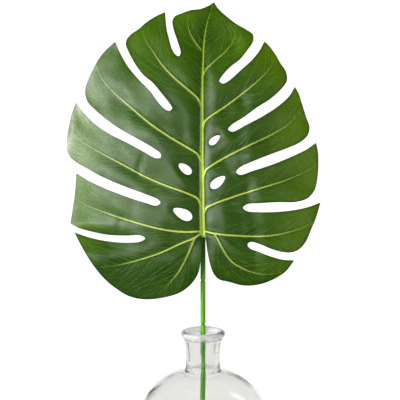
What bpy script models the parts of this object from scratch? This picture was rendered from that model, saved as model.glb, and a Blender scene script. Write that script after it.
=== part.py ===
"""A monstera leaf on a jointed stem, standing in a clear glass bottle vase.

Units are metres in Blender, but every size below is in millimetres and is scaled where it is used.
The frame: +Z up, the leaf's face looks along -Y, and the origin is the centre of the vase's foot.
"""

import math

import bmesh
import bpy
import numpy as np
from mathutils import Vector
from mathutils.geometry import delaunay_2d_cdt

MM = 0.001

# The bottle vase, as radius and height.
VASE_HEIGHT = 185.0
BODY_RADIUS = 67.5
BASE_THICKNESS = 6.0
WALL = 3.0
HEEL_RADIUS = 13.0
SHOULDER_RADIUS = 60.6
BODY_TOP = VASE_HEIGHT - 101.3
NECK_RADIUS = 17.1
NECK_BORE = 13.4
LIP_RADIUS = 22.1
LIP_BORE = 14.8
LIP_HALF_HEIGHT = 3.2
LIP_DROP = 10.0
NECK_TOP_FLARE = 2.0
NECK_FOOT_FLARE = 2.2
BORE_FOOT_FLARE = 2.0
VASE_STEPS = 48

# The stem, a tube with a waist at each joint of its moulding.
STEM_RADIUS = 2.45
WAIST_DEPTH = 0.7
WAIST_HALF = 0.9
FIRST_WAIST = 45.5
WAIST_PITCH = 44.0
STEM_FOOT_Y = -3.5
RIM_CONTACT_DROP = 3.0
TANG_LENGTH = 38.0
TANG_TIP_RADIUS = 0.9
SEAT_GAP = 0.3

# The leaf blade. Its outline and ribs are in (across, up) from the blade's base at the stem.
LEAF_TILT = math.radians(9.0)
BASE_ABOVE_RIM = 91.9
BASE_ACROSS = 0.4
BLADE_THICKNESS = 0.9
MIDRIB_THICKNESS = 4.6
LATERAL_THICKNESS = 2.3
BACK_SHARE = 0.64
MIDRIB_WIDTH = 5.6
LATERAL_WIDTH = 2.9
RIB_END_WIDTH = 1.5
RIB_THINNING = 0.85
VIEW_DISTANCE = 1520.0
VIEW_CENTRE = (-3.0, 37.0)

# How the blade is bent, in millimetres towards the viewer.
MIDRIB_VALLEY = 6.0
MIDRIB_VALLEY_WIDTH = 10.0
MIDRIB_VALLEY_FADE = 0.6
LATERAL_VALLEY = 3.4
LATERAL_VALLEY_WIDTH = 7.0
LEFT_CURL = 30.0
RIGHT_CURL = 18.0
CURL_POWER = 2.2
HALF_WIDTH = 130.0
# On the left the curl grows up the leaf by CROWN_CURL of itself and loses FOOT_LIFT of itself at the foot,
# each between the two heights given.
CROWN_CURL = 0.18
CROWN_CURL_SPAN = (50.0, 150.0)
FOOT_LIFT = 0.62
FOOT_LIFT_SPAN = (14.0, -22.0)
TIP_BEND = 14.0
TIP_BEND_START = 90.0
TIP_BEND_REACH = 145.0
FOOT_BEND = 7.0
FOOT_BEND_START = 8.0
FOOT_BEND_REACH = 50.0

# Spacing of the blade's points.
EDGE_STEP = 4.6
BEND_REACH = 5.0
RIB_STEP = 7.0
FIELD_STEP = 8.5

# Each run of the outline goes from one sharp corner to the next, anticlockwise from the leaf's tip:
# along the lobe's rim, round its shoulder, down the slot, round the slot's blind end and back out.
LEAF_TIP = (10.6, 234.3)
LEFT_CORNERS = [
    (-38.3, 224.5), (-88.3, 194.7), (-127.5, 133.8), (-127.2, 63.3), (-133.0, 13.0), (-129.0, 4.0),
]
RIGHT_CORNERS = [(91.0, -24.0), (117.2, 34.0), (112.5, 93.7), (91.5, 149.7), (61.0, 195.0)]
CROWN_LEFT = [
    (5, 230.7), (-3, 227.6), (-13, 226.3), (-23, 222.7), (-28.4, 220.2), (-31, 215.5),
    (-29.8, 207), (-26.5, 197), (-23.6, 188),
    (-22.8, 183.5), (-24.5, 180.3), (-28, 182),
    (-31.2, 187), (-34.2, 197), (-36.8, 208),
]
LOBE_LEFT_1 = [
    (-48, 220), (-58, 213.5), (-64, 208), (-72, 202.5), (-76.3, 197.7), (-77.7, 192.5),
    (-75, 185), (-68, 172), (-60, 161.5), (-51, 154), (-42, 143.3), (-34, 133.2),
    (-31.2, 128.2), (-34, 125.7), (-39, 127.7),
    (-45, 134), (-53.5, 145.5), (-65, 157.3), (-76, 170.7), (-83.5, 184),
]
LOBE_LEFT_2 = [
    (-98, 186), (-105, 177), (-112, 164), (-117, 152), (-118.2, 144), (-116, 135),
    (-109.5, 127.7), (-97, 117), (-81, 106), (-62, 95.5), (-49, 87.7),
    (-42.7, 82.5), (-42.8, 79), (-48, 78.4),
    (-58, 83.7), (-75, 93), (-93, 102), (-108, 112), (-120, 124),
]
LOBE_LEFT_3 = [
    (-132, 121.5), (-135, 107), (-136.7, 92), (-134.7, 81.5), (-129, 75.5),
    (-117, 68.3), (-100, 59), (-78, 49.7), (-56, 41.5),
    (-45.5, 37), (-43, 33.7), (-47, 30.8),
    (-58, 33.6), (-75, 39), (-96, 47), (-114, 55.2),
]
LOBE_LEFT_4_RIM = [(-128, 48), (-130.2, 31)]
LOBE_LEFT_4_SLOT = [
    (-125, 8.6), (-111, 4.6), (-95, 1.5), (-78, 0.8),
    (-62.5, 0.8), (-58.4, -2), (-62.5, -5),
    (-77, -6.3), (-95, -4.9), (-112, -1.6),
]
FOOT_LOBES = [
    (-123, -8), (-113, -25), (-100, -41.5), (-87, -52.5), (-74, -60), (-59, -63), (-40, -61.3),
    (-23, -56), (-12, -47.5), (-5.4, -37.5), (-3.2, -28), (-2.6, -15),
    (-2.6, -6), (-1.9, -2.4), (0, -1), (1.9, -2.4), (2.7, -6),
    (3.8, -14), (6.4, -27), (10.2, -37.3), (15.6, -43), (26, -45.7), (38, -48.9), (49, -49.2),
    (61, -46.8), (74, -41), (83, -34.5),
]
LOBE_RIGHT_4 = [
    (79, -23.2), (65, -19.2), (54, -14.9),
    (46.5, -12), (44.2, -8), (47.5, -5.6),
    (56, -7.6), (68, -12.6), (79, -15.6), (88, -16), (96, -12.8), (102.5, -5.3),
    (107.5, 6), (113, 19.5),
]
LOBE_RIGHT_3 = [
    (106, 29.8), (93, 26.7), (76, 24.7), (57, 24.2),
    (43.5, 25.4), (39.6, 28.6), (43.5, 32),
    (57, 33.2), (75, 34.2), (92, 34.4), (104, 38), (111.3, 46.5),
    (114.3, 60), (115.1, 76), (114.2, 87.5),
]
LOBE_RIGHT_2 = [
    (104, 87.5), (90, 80.6), (70, 72.3), (49, 65.4),
    (36.5, 61.6), (32.9, 64.5), (36.5, 69),
    (48, 74.4), (67, 82), (85, 88.7), (97, 94.3), (104.3, 101.2), (106.2, 109),
    (102.8, 119.5), (98.3, 134), (95.2, 143.2),
]
LOBE_RIGHT_1 = [
    (86.5, 141.2), (77, 132), (61, 121.2), (43, 111.7),
    (29, 104.8), (24.8, 107), (28, 111.3),
    (40, 119), (54, 129.2), (67, 137.5), (78, 147.5), (83.6, 156), (82.5, 165),
    (77, 173.5), (71.5, 183), (65.5, 191),
]
CROWN_RIGHT = [
    (56.5, 186.5), (49, 177), (37, 166), (27, 157),
    (20, 153), (16, 155.2), (18.5, 160.2),
    (27, 169.5), (36.5, 177), (44.5, 187), (49.8, 195.5), (49.5, 202), (43.5, 206.6),
    (33, 212.7), (22, 221.2), (14.5, 228.3),
]

# The four egg-shaped holes: centre, half length, half width, heading of the blunt end in degrees, taper.
HOLES = [
    ((-18.3, 67.6), 7.7, 4.1, -38.0, 0.18),
    ((-20.9, 22.6), 10.4, 5.1, -27.0, 0.28),
    ((11.2, 96.4), 6.6, 3.3, 222.0, 0.22),
    ((14.5, 54.3), 9.0, 4.3, 219.0, 0.28),
]

# The midrib, then the side ribs, each from its root outwards.
MIDRIB = [
    (-0.5, 2), (-1, 22), (-1.2, 47), (-1.5, 77), (-1.3, 107), (-1.2, 137), (-1, 157),
    (-0.2, 177), (0.3, 190), (1.8, 204), (3.8, 214), (7.3, 225), (8.6, 229.5),
]
SIDE_RIBS = [
    [(-0.5, 185), (-7.5, 193.5), (-13.7, 204.5), (-15.7, 214), (-14.7, 221)],
    [(-2, 131), (-5.5, 138), (-16, 147.5), (-28, 157.7), (-40, 170), (-51, 185.5), (-58.5, 197.5),
     (-60.5, 205.5)],
    [(-2.7, 76), (-5.5, 82), (-15, 88.3), (-33, 99), (-53, 112.7), (-73, 129.5), (-91, 145.3),
     (-101.5, 158.5), (-106, 169.5)],
    [(-2.7, 31), (-5.5, 37.5), (-15, 42.5), (-38, 51), (-58, 59.6), (-83, 73.2), (-106, 85.5), (-122, 95.2),
     (-130.5, 103.5)],
    [(-2, 5), (-18, 4.4), (-36, 6), (-53, 9.7), (-78, 16.8), (-103, 25.3), (-118, 31.2), (-127.5, 36.5)],
    [(-1.5, 4), (-8, -1), (-23, -7.3), (-43, -16.5), (-63, -23.2), (-83, -28.3), (-103, -31)],
    [(-8.5, -1.3), (-11.5, -9), (-17.5, -22.5), (-25, -36), (-35.5, -48.5), (-45, -58.5)],
    [(-0.4, 161), (3, 167.5), (12, 176), (22.5, 185.5), (30, 195.5), (32, 205), (31.3, 211)],
    [(-0.4, 109), (1.5, 115), (7, 120), (22, 130), (37, 141.3), (52, 153.5), (64, 165.3), (71, 177)],
    [(0, 60), (2.3, 66.2), (10, 72), (27, 81.7), (47, 91.7), (67, 101.2), (84, 111.5), (96.5, 124.5)],
    [(0.7, 23), (2.7, 28), (10, 32.2), (32, 40.2), (57, 48.2), (82, 56), (100, 63.7), (112, 70)],
    [(0.5, 5.5), (9, 3.2), (27, 1.1), (52, 0), (72, 1.3), (92, 6.2), (109, 12.7)],
    [(10.5, 2.8), (14, -2.5), (19.5, -13), (27, -24), (37, -31), (51, -36.5), (65, -38), (78, -36)],
]


def clear_scene():
    for obj in list(bpy.data.objects):
        bpy.data.objects.remove(obj, do_unlink=True)


def smooth_line(points, step):
    """Points on a centripetal Catmull-Rom curve through points, both ends included, closer in bends."""
    knots = np.array(points, float)
    knots = np.vstack([2 * knots[0] - knots[1], knots, 2 * knots[-1] - knots[-2]])
    fine = []
    for p0, p1, p2, p3 in zip(knots, knots[1:], knots[2:], knots[3:]):
        hops = (p1 - p0, p2 - p1, p3 - p2)
        t1, t2, t3 = np.cumsum([np.linalg.norm(hop) ** 0.5 for hop in hops])
        t = np.linspace(t1, t2, 16, endpoint=False)[:, None]
        a1 = (t1 - t) / t1 * p0 + t / t1 * p1
        a2 = (t2 - t) / (t2 - t1) * p1 + (t - t1) / (t2 - t1) * p2
        a3 = (t3 - t) / (t3 - t2) * p2 + (t - t2) / (t3 - t2) * p3
        b1 = (t2 - t) / t2 * a1 + t / t2 * a2
        b2 = (t3 - t) / (t3 - t1) * a2 + (t - t1) / (t3 - t1) * a3
        fine.extend((t2 - t) / (t2 - t1) * b1 + (t - t1) / (t2 - t1) * b2)
    fine = np.vstack([fine, knots[-2]])
    hops = np.diff(fine, axis=0)
    heading = np.unwrap(np.arctan2(hops[:, 1], hops[:, 0]))
    turn = np.abs(np.diff(heading, prepend=heading[0]))
    along = np.concatenate([[0], np.cumsum(np.linalg.norm(hops, axis=1) + BEND_REACH * turn)])
    places = np.linspace(0, along[-1], max(2, round(along[-1] / step)) + 1)
    return np.column_stack([np.interp(places, along, fine[:, i]) for i in range(knots.shape[1])])


def leaf_outline(step):
    """The blade's edge as one closed line of points."""
    corners = [LEAF_TIP, *LEFT_CORNERS, *RIGHT_CORNERS, LEAF_TIP]
    runs = [
        CROWN_LEFT, LOBE_LEFT_1, LOBE_LEFT_2, LOBE_LEFT_3, LOBE_LEFT_4_RIM, LOBE_LEFT_4_SLOT, FOOT_LOBES,
        LOBE_RIGHT_4, LOBE_RIGHT_3, LOBE_RIGHT_2, LOBE_RIGHT_1, CROWN_RIGHT,
    ]
    line = []
    for start, run, end in zip(corners, runs, corners[1:]):
        line.extend(smooth_line([start, *run, end], step)[:-1])
    return np.array(line)


def hole_outline(hole, step):
    (across, up), half_length, half_width, heading, taper = hole
    count = max(10, round(math.pi * (half_length + half_width) / step))
    turn = np.arange(count) * 2 * math.pi / count
    along = half_length * np.cos(turn)
    aside = half_width * np.sin(turn) * (1 + taper * np.cos(turn))
    angle = math.radians(heading)
    return np.column_stack([
        across + along * math.cos(angle) - aside * math.sin(angle),
        up + along * math.sin(angle) + aside * math.cos(angle),
    ])


def inside(points, loop):
    """Which points lie inside a closed line, by counting crossings."""
    x, y = points[:, 0, None], points[:, 1, None]
    ax, ay = loop[:, 0], loop[:, 1]
    bx, by = np.roll(ax, -1), np.roll(ay, -1)
    spans = (ay > y) != (by > y)
    with np.errstate(divide="ignore", invalid="ignore"):
        crossing = x < (bx - ax) * (y - ay) / (by - ay) + ax
    return (spans & crossing).sum(1) % 2 == 1


def nearest_on(line, points):
    """Each point's distance to a line, and how far along the line that is, from 0 to 1."""
    starts, ends = line[:-1], line[1:]
    run = ends - starts
    share = ((points[:, None] - starts) * run).sum(2) / (run**2).sum(1)
    share = np.clip(share, 0, 1)
    gaps = np.linalg.norm(points[:, None] - starts - share[..., None] * run, axis=2)
    best = gaps.argmin(1)
    rows = np.arange(len(points))
    return gaps[rows, best], (best + share[rows, best]) / len(starts)


def rib_width(root_width, along):
    return RIB_END_WIDTH + (root_width - RIB_END_WIDTH) * (1 - along)


def rib_thickness(distance, along, root_width, root_thickness):
    """The blade's thickness at a rib: half round across it, and thinning towards the rib's end."""
    half = rib_width(root_width, along) / 2
    crown = np.sqrt(np.clip(1 - (distance / half) ** 2, 0, 1))
    return BLADE_THICKNESS + (root_thickness - BLADE_THICKNESS) * (1 - RIB_THINNING * along) * crown


def soft_step(span, values):
    """From 0 at the span's start to 1 at its end, with level ends."""
    share = np.clip((values - span[0]) / (span[1] - span[0]), 0, 1)
    return share * share * (3 - 2 * share)


def blade_depth(points, midrib, side_ribs):
    """How far each point of the blade stands towards the viewer."""
    across, up = points[:, 0], points[:, 1]
    gap, along = nearest_on(midrib, points)
    root_fade = 1 - np.exp(-gap / MIDRIB_VALLEY_WIDTH)
    depth = MIDRIB_VALLEY * (1 - MIDRIB_VALLEY_FADE * along) * root_fade
    groove = np.zeros(len(points))
    for rib in side_ribs:
        gap, along = nearest_on(rib, points)
        groove = np.maximum(groove, (1 - along) ** 0.5 * np.exp(-gap / LATERAL_VALLEY_WIDTH))
    depth -= LATERAL_VALLEY * groove * root_fade
    change = CROWN_CURL * soft_step(CROWN_CURL_SPAN, up) - FOOT_LIFT * soft_step(FOOT_LIFT_SPAN, up)
    curl = np.where(across < 0, LEFT_CURL * (1 + change), RIGHT_CURL)
    depth -= curl * (np.abs(across) / HALF_WIDTH) ** CURL_POWER
    depth -= TIP_BEND * (np.clip(up - TIP_BEND_START, 0, None) / TIP_BEND_REACH) ** 2
    depth -= FOOT_BEND * (np.clip(-up - FOOT_BEND_START, 0, None) / FOOT_BEND_REACH) ** 2
    return depth


def blade_points(points, depth):
    """The (across, up, towards the viewer) places, in millimetres, of a blade measured on a picture:
    what lies further back is a little larger than it measures there."""
    spread = 1 - depth / VIEW_DISTANCE
    centre = np.array(VIEW_CENTRE)
    flat = centre + (points - centre) * spread[:, None]
    return np.column_stack([flat, depth])


def blade_frame():
    """The blade's base, and its across, up and facing directions."""
    across = Vector((1, 0, 0))
    up = Vector((0, math.sin(LEAF_TILT), math.cos(LEAF_TILT)))
    facing = Vector((0, -math.cos(LEAF_TILT), math.sin(LEAF_TILT)))
    height = VASE_HEIGHT + BASE_ABOVE_RIM
    behind = MIDRIB_THICKNESS * BACK_SHARE + SEAT_GAP + STEM_RADIUS
    base = Vector((BASE_ACROSS, stem_line_y(height), height)) + behind * facing
    return base, across, up, facing


def in_frame(place, frame):
    base, across, up, facing = frame
    return (base + place[0] * across + place[1] * up + place[2] * facing) * MM


def stem_line_y(height):
    """The stem leans straight from the vase's floor to the back of its lip."""
    rim_contact = LIP_BORE - STEM_RADIUS - SEAT_GAP
    slope = (rim_contact - STEM_FOOT_Y) / (VASE_HEIGHT - RIM_CONTACT_DROP - BASE_THICKNESS)
    return STEM_FOOT_Y + slope * (height - BASE_THICKNESS)


def field_points(outline, hole_lines, rib_rows):
    """A triangular lattice over the blade, clear of its edges and ribs."""
    low, high = outline.min(0), outline.max(0)
    row_step = FIELD_STEP * math.sqrt(3) / 2
    lattice = np.array([
        (x + (i % 2) * FIELD_STEP / 2, y)
        for i, y in enumerate(np.arange(low[1], high[1], row_step))
        for x in np.arange(low[0], high[0], FIELD_STEP)
    ])
    keep = inside(lattice, outline)
    for line in hole_lines:
        keep &= ~inside(lattice, line)
    lattice = lattice[keep]
    taken = np.vstack([outline, *hole_lines, rib_rows])
    gaps = np.linalg.norm(lattice[:, None] - taken, axis=2).min(1)
    return lattice[gaps > 0.62 * FIELD_STEP]


def rows_along(rib, root_width, outline, hole_lines, clear_of):
    """Points on a rib's centre line and on both its flanks."""
    heading = np.gradient(rib, axis=0)
    heading /= np.linalg.norm(heading, axis=1)[:, None]
    normal = np.column_stack([-heading[:, 1], heading[:, 0]])
    along = np.linspace(0, 1, len(rib))
    half = rib_width(root_width, along)[:, None] / 2
    rows = np.vstack([rib, rib + half * normal, rib - half * normal])
    keep = inside(rows, outline)
    edges = np.vstack([outline, *hole_lines])
    keep &= np.linalg.norm(rows[:, None] - edges, axis=2).min(1) > 1.5
    if len(clear_of):
        keep &= np.linalg.norm(rows[:, None] - clear_of, axis=2).min(1) > 1.2
    return rows[keep]


def blade_triangles():
    """The blade's points and triangles, flat, split along its edges and ribs."""
    outline = leaf_outline(EDGE_STEP)
    hole_lines = [hole_outline(hole, EDGE_STEP * 0.7) for hole in HOLES]
    midrib = smooth_line(MIDRIB, RIB_STEP)
    rib_rows = rows_along(midrib, MIDRIB_WIDTH, outline, hole_lines, [])
    for points in SIDE_RIBS:
        rib = smooth_line(points, RIB_STEP)
        rib_rows = np.vstack([rib_rows, rows_along(rib, LATERAL_WIDTH, outline, hole_lines, rib_rows)])
    field = field_points(outline, hole_lines, rib_rows)
    loops = [outline, *hole_lines]
    edges, start = [], 0
    for loop in loops:
        count = len(loop)
        edges += [(start + i, start + (i + 1) % count) for i in range(count)]
        start += count
    everything = np.vstack([*loops, rib_rows, field])
    places, _, triangles, *_ = delaunay_2d_cdt([Vector(p) for p in everything], edges, [], 0, 1e-4)
    flat = np.array([tuple(p) for p in places])
    middles = flat[np.array(triangles)].mean(1)
    keep = inside(middles, outline)
    for line in hole_lines:
        keep &= ~inside(middles, line)
    return flat, [t for t, kept in zip(triangles, keep) if kept]


def make_material(name, color, roughness, transmission=0.0):
    material = bpy.data.materials.new(name)
    material.use_nodes = True
    shader = material.node_tree.nodes["Principled BSDF"]
    shader.inputs["Base Color"].default_value = (*color, 1)
    shader.inputs["Roughness"].default_value = roughness
    shader.inputs["Transmission Weight"].default_value = transmission
    return material


def add_object(name, data, collection, material):
    obj = bpy.data.objects.new(name, data)
    collection.objects.link(obj)
    obj.data.materials.append(material)
    return obj


def make_blade(collection):
    """The lobed blade, one bent sheet that Solidify thickens, more where its ribs run."""
    flat, triangles = blade_triangles()
    midrib = smooth_line(MIDRIB, 2.0)
    side_ribs = [smooth_line(points, 2.0) for points in SIDE_RIBS]
    places = blade_points(flat, blade_depth(flat, midrib, side_ribs))
    frame = blade_frame()

    sheet = bmesh.new()
    verts = [sheet.verts.new(in_frame(place, frame)) for place in places.tolist()]
    for triangle in triangles:
        sheet.faces.new([verts[i] for i in triangle])
    loose = [vert for vert in sheet.verts if not vert.link_faces]
    kept = np.array([bool(vert.link_faces) for vert in sheet.verts])
    bmesh.ops.delete(sheet, geom=loose, context="VERTS")
    sheet.normal_update()
    mesh = bpy.data.meshes.new("leaf_blade")
    sheet.to_mesh(mesh)
    sheet.free()

    gap, along = nearest_on(midrib, flat[kept])
    thickness = rib_thickness(gap, along, MIDRIB_WIDTH, MIDRIB_THICKNESS)
    for rib in side_ribs:
        gap, along = nearest_on(rib, flat[kept])
        thickness = np.maximum(thickness, rib_thickness(gap, along, LATERAL_WIDTH, LATERAL_THICKNESS))

    obj = add_object("leaf_blade", mesh, collection, make_material("leaf_green", (0.05, 0.16, 0.03), 0.42))
    group = obj.vertex_groups.new(name="thickness")
    for index, value in enumerate(thickness):
        group.add([index], float(value / MIDRIB_THICKNESS), "REPLACE")
    solidify = obj.modifiers.new("thickness", "SOLIDIFY")
    solidify.thickness = MIDRIB_THICKNESS * MM
    solidify.vertex_group = group.name
    solidify.offset = 1 - 2 * BACK_SHARE
    solidify.use_even_offset = False
    mesh.shade_smooth()
    return obj


def stem_waists(length):
    """How far down the stem from the blade's base each waist lies."""
    waists, place = [], FIRST_WAIST
    while place < length - 10:
        waists.append(place)
        place += WAIST_PITCH
    return waists


def make_stem(collection):
    """The stem: straight from the vase's floor to the blade, then a tapered tang up the midrib's back."""
    base, _, up, facing = blade_frame()
    top = Vector((0, stem_line_y(base.z), base.z))
    foot_z = BASE_THICKNESS + SEAT_GAP + 0.3
    foot = Vector((0, stem_line_y(foot_z), foot_z))
    down = (foot - top).normalized()
    length = (foot - top).length

    drops = {6.0, length}
    for waist in stem_waists(length):
        drops.update(waist + step * WAIST_HALF for step in (-2, -1, -0.5, 0, 0.5, 1, 2))
    places = []
    for drop in sorted(drops, reverse=True):
        squeeze = sum(math.exp(-(((drop - waist) / WAIST_HALF) ** 2)) for waist in stem_waists(length))
        places.append((top + down * drop, STEM_RADIUS - WAIST_DEPTH * squeeze))

    midrib = smooth_line(MIDRIB, 2.0)
    side_ribs = [smooth_line(points, 2.0) for points in SIDE_RIBS]
    for share in np.linspace(0.12, 1, 8).tolist():
        rise = share * TANG_LENGTH
        radius = STEM_RADIUS + (TANG_TIP_RADIUS - STEM_RADIUS) * share
        across = float(np.interp(rise, midrib[:, 1], midrib[:, 0]))
        flat = np.array([(across, rise)])
        _, along = nearest_on(midrib, flat)
        depth = blade_depth(flat, midrib, side_ribs)
        rib = rib_thickness(np.zeros(1), along, MIDRIB_WIDTH, MIDRIB_THICKNESS)
        behind = float(depth[0] - rib[0] * BACK_SHARE) - SEAT_GAP - radius
        places.append((base + Vector((across, 0, 0)) + rise * up + behind * facing, radius))

    curve = bpy.data.curves.new("leaf_stem", "CURVE")
    curve.dimensions = "3D"
    curve.bevel_depth = MM
    curve.bevel_resolution = 4
    curve.use_fill_caps = True
    spline = curve.splines.new("POLY")
    spline.points.add(len(places) - 1)
    for point, (place, radius) in zip(spline.points, places):
        point.co = (*(place * MM), 1)
        point.radius = radius
    return add_object("leaf_stem", curve, collection, make_material("stem_green", (0.12, 0.42, 0.06), 0.38))


def vase_profile():
    """(radius, height) down the vase's outside from the lip's crest, then up its inside."""
    lip_middle = (LIP_RADIUS + LIP_BORE) / 2
    lip_half = (LIP_RADIUS - LIP_BORE) / 2
    crest = VASE_HEIGHT - LIP_HALF_HEIGHT
    outside = [
        (lip_middle + lip_half * math.sin(a), crest + LIP_HALF_HEIGHT * math.cos(a))
        for a in np.radians([0, 30, 60, 90, 125])
    ]
    shoulder_middle = BODY_RADIUS - SHOULDER_RADIUS
    neck_angle = math.asin((NECK_RADIUS + NECK_FOOT_FLARE - shoulder_middle) / SHOULDER_RADIUS)
    neck_foot = BODY_TOP + SHOULDER_RADIUS * math.cos(neck_angle)
    outside += [
        (NECK_RADIUS + NECK_TOP_FLARE, VASE_HEIGHT - LIP_DROP + 1),
        (NECK_RADIUS + 0.9, VASE_HEIGHT - LIP_DROP - 3.5),
        (NECK_RADIUS, VASE_HEIGHT - LIP_DROP - 12),
        (NECK_RADIUS + 0.3, neck_foot + 5),
        (NECK_RADIUS + 0.9, neck_foot + 1.5),
    ]
    outside += [
        (shoulder_middle + SHOULDER_RADIUS * math.sin(a), BODY_TOP + SHOULDER_RADIUS * math.cos(a))
        for a in np.linspace(neck_angle, math.pi / 2, 9).tolist()
    ]
    outside += [
        (BODY_RADIUS - HEEL_RADIUS * (1 - math.cos(a)), HEEL_RADIUS * (1 - math.sin(a)))
        for a in np.radians([0, 22, 45, 68, 90])
    ]
    outside += [(0, 0)]

    floor_radius = BODY_RADIUS - WALL
    heel = HEEL_RADIUS - WALL
    within = [(0, BASE_THICKNESS)]
    within += [
        (floor_radius - heel * (1 - math.cos(a)), BASE_THICKNESS + heel * (1 - math.sin(a)))
        for a in np.radians([90, 60, 30, 0])
    ]
    inner_radius = SHOULDER_RADIUS - WALL
    bore_angle = math.asin((NECK_BORE + BORE_FOOT_FLARE - shoulder_middle) / inner_radius)
    within += [
        (shoulder_middle + inner_radius * math.sin(a), BODY_TOP + inner_radius * math.cos(a))
        for a in np.linspace(math.pi / 2, bore_angle, 8).tolist()
    ]
    within += [
        (NECK_BORE, neck_foot + 0.5),
        (NECK_BORE, VASE_HEIGHT - LIP_DROP - 10),
    ]
    within += [
        (lip_middle - lip_half * math.cos(a), crest + LIP_HALF_HEIGHT * math.sin(a))
        for a in np.radians([0, 30, 60])
    ]
    return outside, within


def make_vase(collection):
    """The bottle, turned about its axis."""
    outside, within = vase_profile()
    profile = [*outside, *within]
    mesh = bpy.data.meshes.new("glass_vase")
    count = len(profile)
    mesh.from_pydata(
        [(radius * MM, 0, height * MM) for radius, height in profile],
        [(i, (i + 1) % count) for i in range(count) if profile[i][0] or profile[(i + 1) % count][0]],
        [],
    )
    glass = make_material("clear_glass", (0.93, 0.96, 0.94), 0.03, transmission=1.0)
    obj = add_object("glass_vase", mesh, collection, glass)
    screw = obj.modifiers.new("turn", "SCREW")
    screw.axis = "Z"
    screw.steps = VASE_STEPS
    screw.render_steps = VASE_STEPS
    screw.use_merge_vertices = True
    screw.merge_threshold = 0.00001
    screw.use_smooth_shade = True
    return obj


def main():
    clear_scene()
    collection = bpy.data.collections.new("monstera_leaf")
    bpy.context.scene.collection.children.link(collection)
    make_vase(collection)
    make_stem(collection)
    make_blade(collection)


main()
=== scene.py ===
"""The looks of the monstera leaf and its glass bottle vase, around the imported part.

Sizes are in millimetres until they are placed, and the leaf's own plane is (across, up, towards the viewer).
"""

import math

import bpy
import numpy as np
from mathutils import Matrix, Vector, kdtree
from mathutils.geometry import delaunay_2d_cdt

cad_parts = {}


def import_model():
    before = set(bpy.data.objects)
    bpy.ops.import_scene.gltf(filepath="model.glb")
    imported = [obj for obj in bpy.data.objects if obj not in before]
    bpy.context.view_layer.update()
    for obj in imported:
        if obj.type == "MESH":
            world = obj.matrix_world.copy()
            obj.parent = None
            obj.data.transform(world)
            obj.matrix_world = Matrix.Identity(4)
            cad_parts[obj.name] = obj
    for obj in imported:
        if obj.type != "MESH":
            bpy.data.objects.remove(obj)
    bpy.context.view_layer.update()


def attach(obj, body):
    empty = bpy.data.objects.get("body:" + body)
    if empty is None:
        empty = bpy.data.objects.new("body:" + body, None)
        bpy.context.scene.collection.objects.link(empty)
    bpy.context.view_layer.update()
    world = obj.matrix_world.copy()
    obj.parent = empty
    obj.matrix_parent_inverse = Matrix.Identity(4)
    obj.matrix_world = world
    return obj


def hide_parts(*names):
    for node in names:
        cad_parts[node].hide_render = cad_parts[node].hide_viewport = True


MM = 0.001

# The vase, the stem and the blade, with the values of the part's source.
VASE_HEIGHT = 185.0
BODY_RADIUS = 67.5
BASE_THICKNESS = 6.0
WALL = 3.0
HEEL_RADIUS = 13.0
SHOULDER_RADIUS = 60.6
BODY_TOP = VASE_HEIGHT - 101.3
NECK_RADIUS = 17.1
NECK_BORE = 13.4
LIP_RADIUS = 22.1
LIP_BORE = 14.8
LIP_HALF_HEIGHT = 3.2
LIP_DROP = 10.0
NECK_FOOT_FLARE = 2.2

STEM_RADIUS = 2.45
WAIST_DEPTH = 0.75
WAIST_HALF = 0.8
WAIST_DETAIL = 4.0
SHOULDER_SWELL = 0.16
SHOULDER_GAP = 2.1
SHOULDER_HALF = 0.9
FIRST_WAIST = 45.5
WAIST_PITCH = 44.0
STEM_FOOT_Y = -3.5
TANG_LENGTH = 38.0
TANG_TIP_RADIUS = 0.9
MOULD_LINE = 0.045
GROOVE_REACH = 1.1
STEM_SHADE_SPAN = (24.0, 47.0)
SEAT_GAP = 0.3

LEAF_TILT = math.radians(9.0)
BASE_ABOVE_RIM = 91.9
BASE_ACROSS = 0.4
BLADE_THICKNESS = 0.9
MIDRIB_THICKNESS = 4.6
LATERAL_THICKNESS = 2.3
BACK_SHARE = 0.64
MIDRIB_WIDTH = 5.6
LATERAL_WIDTH = 2.9
RIB_END_WIDTH = 1.5
RIB_THINNING = 0.85
VIEW_DISTANCE = 1520.0
VIEW_CENTRE = (-3.0, 37.0)
MIDRIB_VALLEY = 6.0
MIDRIB_VALLEY_WIDTH = 10.0
MIDRIB_VALLEY_FADE = 0.6
LATERAL_VALLEY = 3.4
LATERAL_VALLEY_WIDTH = 7.0
LEFT_CURL = 30.0
RIGHT_CURL = 18.0
CROWN_CURL = 0.18
CROWN_CURL_SPAN = (50.0, 150.0)
FOOT_LIFT = 0.62
FOOT_LIFT_SPAN = (14.0, -22.0)
HALF_WIDTH = 130.0
CURL_POWER = 2.2
TIP_BEND = 14.0
TIP_BEND_START = 90.0
TIP_BEND_REACH = 145.0
FOOT_BEND = 7.0
FOOT_BEND_START = 8.0
FOOT_BEND_REACH = 50.0

# The fine blade's relief, beyond the part's own.
MIDRIB_CHANNEL = 0.7
CHANNEL_REACH = 0.22
RIB_ROOF = 1.0
RIB_ROOF_WIDTH = 2.1
RIB_ROOF_START = 4.0
SWELL = 0.8
SWELL_SEED = 5
SWELL_WAVES = ((62, 0.9), (44, 0.55), (30, 0.32), (21, 0.16))
SWELL_EDGE_FADE = 5.0
SWELL_START = (3.0, 22.0)
HOLE_DIMPLE = 1.0
HOLE_DIMPLE_REACH = 3.5

# Soft folds down the blade: across at each of the heights, half width, drop towards the margin.
FOLD_HEIGHTS = (-40, 80, 200)
FOLDS = [
    ((-70.0, -66.0, -98.0), 9.0, 1.3),
    ((58.0, 46.0, 34.0), 8.0, -2.9),
    ((5.6, 5.3, 5.0), 4.2, -1.9),
]
FOLD_SWAY = 3.0
FOLD_SWAY_LENGTH = 23.0
FOLD_CHANGE = 0.25
FOLD_CHANGE_LENGTH = 17.0

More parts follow.
